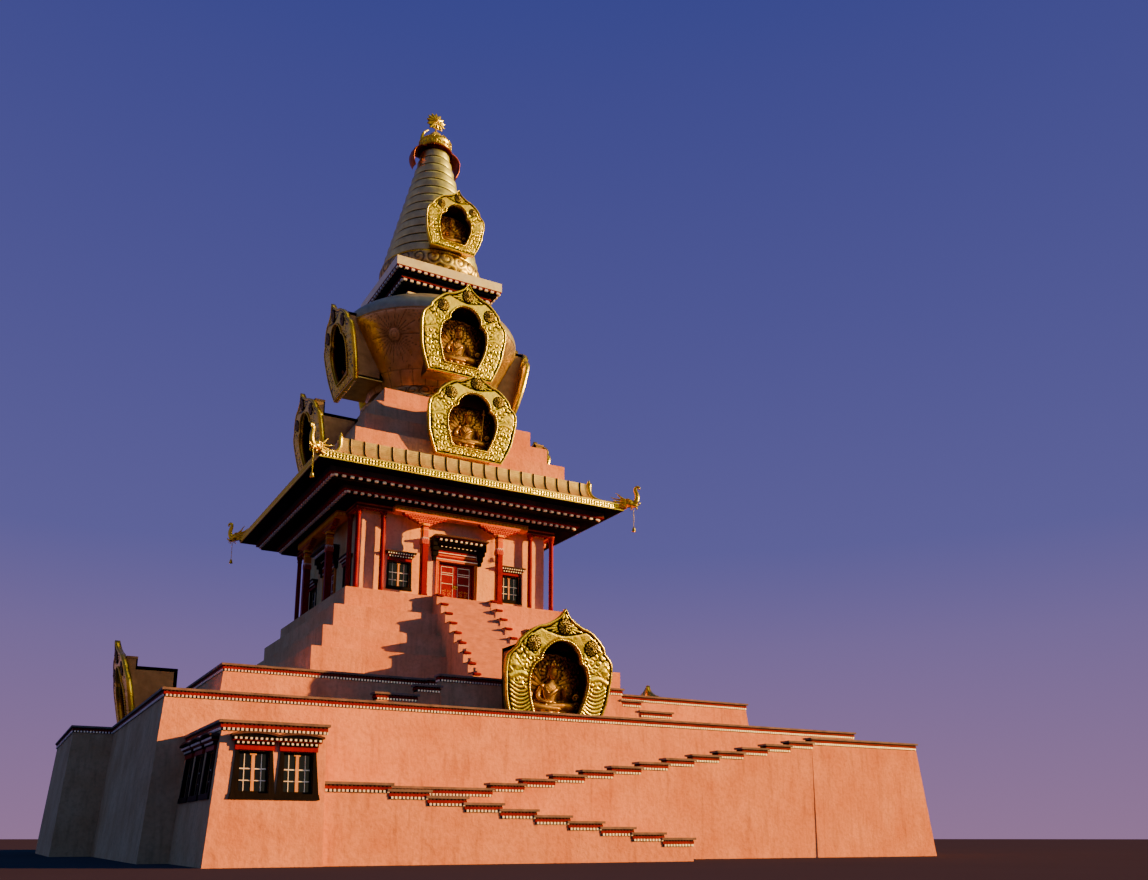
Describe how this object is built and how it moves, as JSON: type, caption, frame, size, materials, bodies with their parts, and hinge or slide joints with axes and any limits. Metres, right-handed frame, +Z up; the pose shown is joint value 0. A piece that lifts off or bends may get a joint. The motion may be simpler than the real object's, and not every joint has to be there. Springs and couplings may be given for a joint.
{
  "type": "stupa, 1:2 scale model",
  "caption": "Buddhist stupa with gilded dome, ringed spire and niches over a walk-in hall, on a stepped plinth and walled terraces, with swinging double door and corner bells.",
  "frame": {"origin": "on the spire's axis at ground level, in the flat underside of the lower terrace", "axes": "+Z up, the main stair and double door face -Y, +X to the right seen from the front"},
  "size_m": [21.0482, 23.3725, 27.05],
  "materials": {
    "limewash": "white limewashed masonry, matt",
    "cream_wall": "cream painted plaster, matt",
    "coping": "grey slab over a dark red painted band with white block ends",
    "step_stone": "pale cut stone, matt",
    "red_lacquer": "deep red lacquered timber, gloss",
    "ochre_paint": "orange and gold painted timber, satin",
    "soffit_blue": "dark blue painted timber with white dentils, satin",
    "gilt": "gilded beaten copper, satin to bright",
    "gilt_roof": "gilded sheet with standing ribs, satin"
  },
  "bodies": {
    "root": {"lower_terrace": "limewash", "upper_terrace": "limewash", "side_stair_left": "limewash", "side_stair_right": "limewash", "stepped_plinth": "limewash", "main_stair": "limewash", "stair_balustrade_left": "limewash", "stair_balustrade_right": "limewash", "stepped_throne": "limewash", "pavilion": "limewash", "approach_parapet_outer": "limewash", "approach_parapet_inner": "limewash", "approach_head_block": "limewash", "harmika": "limewash", "lower_terrace_coping": "coping", "upper_terrace_coping": "coping", "landing_coping": "coping", "pavilion_roof": "coping", "approach_flight_lower": "step_stone", "approach_flight_upper": "step_stone", "hall_front_wall_left": "cream_wall", "hall_front_wall_right": "cream_wall", "hall_wall_over_door": "cream_wall", "hall_right_wall": "cream_wall", "hall_left_wall": "cream_wall", "hall_back_wall": "cream_wall", "door_frame": "ochre_paint", "colonnade_front": "red_lacquer", "colonnade_right": "red_lacquer", "colonnade_back": "red_lacquer", "colonnade_left": "red_lacquer", "soffit": "soffit_blue", "eave": "gilt_roof", "gold_roof": "gilt_roof", "base_niche_front": "gilt", "base_niche_right": "gilt", "base_niche_back": "gilt", "base_niche_left": "gilt", "throne_niche_front": "gilt", "throne_niche_right": "gilt", "throne_niche_back": "gilt", "throne_niche_left": "gilt", "dome_niche_front": "gilt", "dome_niche_right": "gilt", "dome_niche_back": "gilt", "dome_niche_left": "gilt", "spire_niche": "gilt", "lotus_foot": "gilt", "dome": "gilt", "spire_foot": "gilt", "spire_rings": "gilt", "spire_canopy": "gilt", "crown_drum": "gilt", "crown_flame": "gilt"},
    "bell_back_left": {"corner_bell_back_left": "gilt"},
    "bell_back_right": {"corner_bell_back_right": "gilt"},
    "bell_front_left": {"corner_bell_front_left": "gilt"},
    "bell_front_right": {"corner_bell_front_right": "gilt"},
    "leaf_left": {"door_leaf_left": "red_lacquer"},
    "leaf_right": {"door_leaf_right": "red_lacquer"}
  },
  "joints": [
    {"name": "door_left_swing", "type": "hinge", "parent": "root", "child": "leaf_left", "pos_m": [-0.545, -2.98, 8.14], "axis": [0, 0, 1], "range_deg": [0, 90]},
    {"name": "door_right_swing", "type": "hinge", "parent": "root", "child": "leaf_right", "pos_m": [0.545, -2.98, 8.14], "axis": [0, 0, -1], "range_deg": [0, 90]},
    {"name": "bell_front_left_swing", "type": "hinge", "parent": "root", "child": "bell_front_left", "pos_m": [-5.21, -5.21, 10.82], "axis": [0.7071, -0.7071, 0], "range_deg": [-15, 15]},
    {"name": "bell_front_right_swing", "type": "hinge", "parent": "root", "child": "bell_front_right", "pos_m": [5.21, -5.21, 10.82], "axis": [0.7071, 0.7071, 0], "range_deg": [-15, 15]},
    {"name": "bell_back_right_swing", "type": "hinge", "parent": "root", "child": "bell_back_right", "pos_m": [5.21, 5.21, 10.82], "axis": [-0.7071, 0.7071, 0], "range_deg": [-15, 15]},
    {"name": "bell_back_left_swing", "type": "hinge", "parent": "root", "child": "bell_back_left", "pos_m": [-5.21, 5.21, 10.82], "axis": [-0.7071, -0.7071, 0], "range_deg": [-15, 15]}
  ]
}
